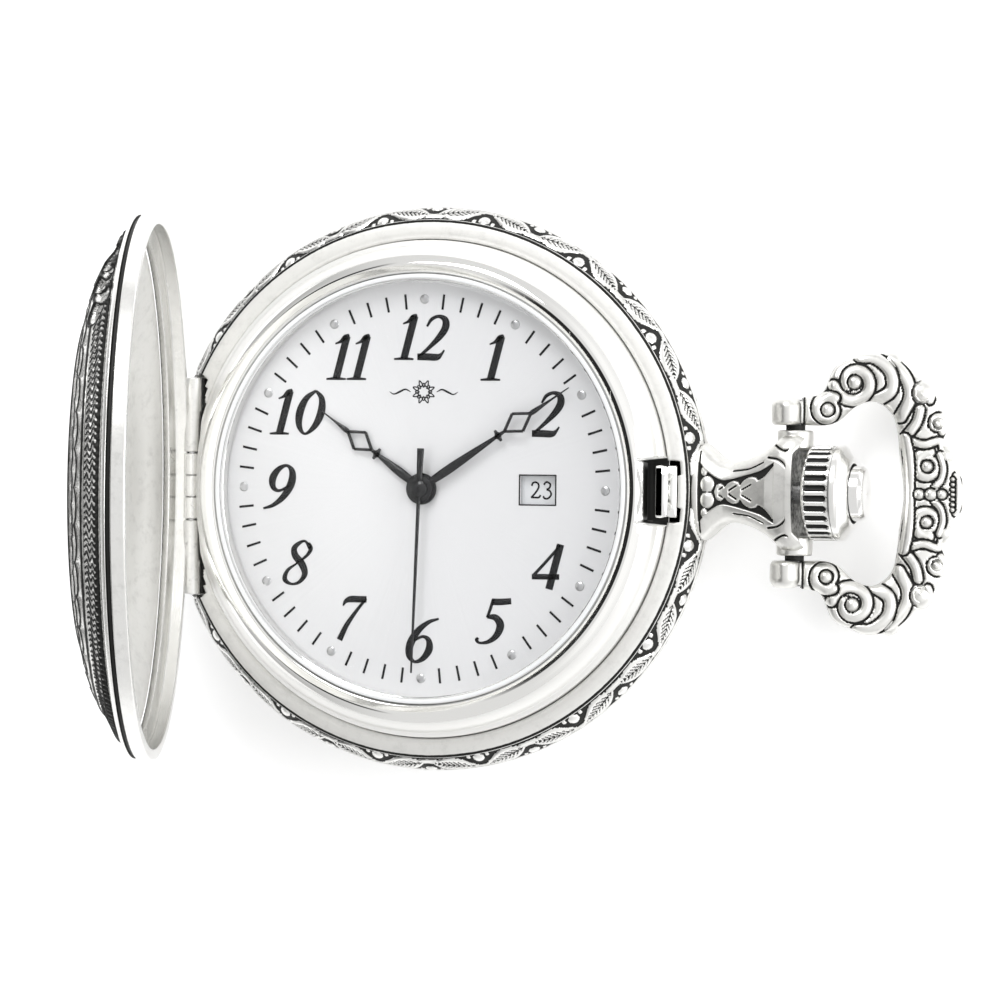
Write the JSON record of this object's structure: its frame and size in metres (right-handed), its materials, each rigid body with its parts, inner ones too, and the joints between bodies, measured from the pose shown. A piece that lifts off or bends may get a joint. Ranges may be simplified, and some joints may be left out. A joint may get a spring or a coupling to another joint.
{
  "type": "hunter pocket watch",
  "caption": "Round hunter pocket watch with a sprung lid, engraved case, chased bow, fluted crown with a push button, white dial and date window.",
  "frame": {"origin": "centre of the flat of the back cover, which the watch lies on", "axes": "+Z leaves the dial, +X towards the pendant and crown (3 o'clock), +Y towards 12 o'clock"},
  "size_m": [0.0692, 0.0474, 0.0509],
  "materials": {
    "case_metal": "satin plated metal with blackened recesses",
    "polished_metal": "mirror polish",
    "spring_steel": "fine brushed",
    "brass": "satin",
    "dial_white": "fine silvery white lacquer",
    "hand_black": "semi-gloss black",
    "crystal_glass": "clear polished",
    "seal_rubber": "matt",
    "movement_plastic": "matt",
    "coil_copper": "enamelled winding",
    "board_green": "solder mask",
    "battery_steel": "bright"
  },
  "bodies": {
    "case": {"case_middle": "case_metal", "bezel": "polished_metal", "crystal_gasket": "movement_plastic", "crystal": "crystal_glass", "back_cover": "case_metal", "back_gasket": "seal_rubber", "pendant": "case_metal", "pendant_sleeve": "seal_rubber", "hinge_pin": "spring_steel", "lift_spring": "spring_steel", "movement_ring": "movement_plastic", "dial": "dial_white", "date_guard": "brass", "main_plate": "brass", "train_bridge": "brass", "bridge_screw_1": "spring_steel", "bridge_screw_2": "spring_steel", "bridge_screw_3": "spring_steel", "battery": "battery_steel", "battery_clamp": "brass", "coil": "coil_copper", "stator": "spring_steel", "circuit_board": "board_green", "quartz_can": "spring_steel"},
    "lid": {"lid_rim": "case_metal", "lid_cover": "case_metal"},
    "latch": {"latch": "spring_steel"},
    "clutch": {"clutch_wheel": "spring_steel"},
    "crown": {"crown": "polished_metal", "stem": "spring_steel", "button_spring": "spring_steel"},
    "push_button": {"push_button": "polished_metal"},
    "bow": {"bow": "case_metal", "bow_screw_1": "case_metal", "bow_screw_2": "case_metal"},
    "seconds": {"fourth_wheel": "brass", "second_hand": "hand_black"},
    "minutes": {"centre_wheel": "brass", "minute_hand": "hand_black"},
    "hours": {"hour_wheel": "brass", "hour_hand": "hand_black"},
    "third_wheel": {"third_wheel": "brass"},
    "fifth_wheel": {"fifth_wheel": "brass"},
    "rotor": {"rotor": "spring_steel"},
    "minute_wheel": {"minute_wheel": "brass"},
    "setting_wheel": {"setting_wheel": "brass"},
    "date_idler": {"date_idler": "brass"},
    "date_ring": {"date_ring": "dial_white"}
  },
  "joints": [
    {"name": "lid_hinge", "type": "hinge", "parent": "case", "child": "lid", "pos_m": [-0.0211, 0, 0.0085], "axis": [0, 1, 0], "range_deg": [0, 76], "stiffness_Nm_per_rad": 0.003, "springref_deg": -57.3},
    {"name": "bow_swing", "type": "hinge", "parent": "case", "child": "bow", "pos_m": [0.0309, 0, 0.0056], "axis": [0, 1, 0], "range_deg": [-129, 90]},
    {"name": "crown_turn", "type": "hinge", "parent": "case", "child": "clutch", "pos_m": [0.012, 0, 0.0056], "axis": [1, 0, 0], "continuous": true},
    {"name": "crown_pull", "type": "slide", "parent": "clutch", "child": "crown", "axis": [1, 0, 0], "range_m": [0, 0.0012]},
    {"name": "button_press", "type": "slide", "parent": "crown", "child": "push_button", "axis": [-1, 0, 0], "range_m": [0, 0.0008], "stiffness_N_per_m": 100, "springref_m": -0.004, "deforming": ["button_spring"]},
    {"name": "latch_slide", "type": "slide", "parent": "case", "child": "latch", "axis": [-1, 0, 0], "range_m": [0, 0.0008]},
    {"name": "seconds_run", "type": "hinge", "parent": "case", "child": "seconds", "pos_m": [0, 0, 0.0058], "axis": [0, 0, -1], "continuous": true},
    {"name": "minutes_run", "type": "hinge", "parent": "case", "child": "minutes", "pos_m": [0, 0, 0.0058], "axis": [0, 0, -1], "continuous": true},
    {"name": "hours_run", "type": "hinge", "parent": "case", "child": "hours", "pos_m": [0, 0, 0.0058], "axis": [0, 0, -1], "continuous": true},
    {"name": "third_run", "type": "hinge", "parent": "case", "child": "third_wheel", "pos_m": [-0.00319, -0.00116, 0.0058], "axis": [0, 0, -1], "continuous": true},
    {"name": "fifth_run", "type": "hinge", "parent": "case", "child": "fifth_wheel", "pos_m": [0.00171, 0.00296, 0.0058], "axis": [0, 0, -1], "continuous": true},
    {"name": "rotor_run", "type": "hinge", "parent": "case", "child": "rotor", "pos_m": [0.00207, 0.00503, 0.0058], "axis": [0, 0, -1], "continuous": true},
    {"name": "minute_wheel_run", "type": "hinge", "parent": "case", "child": "minute_wheel", "pos_m": [0.003, 0, 0.0087], "axis": [0, 0, -1], "continuous": true},
    {"name": "setting_wheel_run", "type": "hinge", "parent": "case", "child": "setting_wheel", "pos_m": [0.0084, 0, 0.0078], "axis": [0, 0, -1], "continuous": true},
    {"name": "date_idler_run", "type": "hinge", "parent": "case", "child": "date_idler", "pos_m": [-0.00293, 0.00418, 0.0091], "axis": [0, 0, -1], "continuous": true},
    {"name": "date_ring_turn", "type": "hinge", "parent": "case", "child": "date_ring", "pos_m": [0, 0, 0.0092], "axis": [0, 0, -1], "continuous": true}
  ],
  "couplings": [
    {"joint": "minutes_run", "follows": "seconds_run", "ratio": 0.016667},
    {"joint": "hours_run", "follows": "seconds_run", "ratio": 0.0013889},
    {"joint": "third_run", "follows": "seconds_run", "ratio": -0.13333},
    {"joint": "fifth_run", "follows": "seconds_run", "ratio": -5},
    {"joint": "rotor_run", "follows": "seconds_run", "ratio": 30},
    {"joint": "minute_wheel_run", "follows": "seconds_run", "ratio": -0.0055556},
    {"joint": "setting_wheel_run", "follows": "seconds_run", "ratio": 0.0039683},
    {"joint": "date_idler_run", "follows": "seconds_run", "ratio": -0.0012346},
    {"joint": "latch_slide", "follows": "button_press", "ratio": 1}
  ]
}
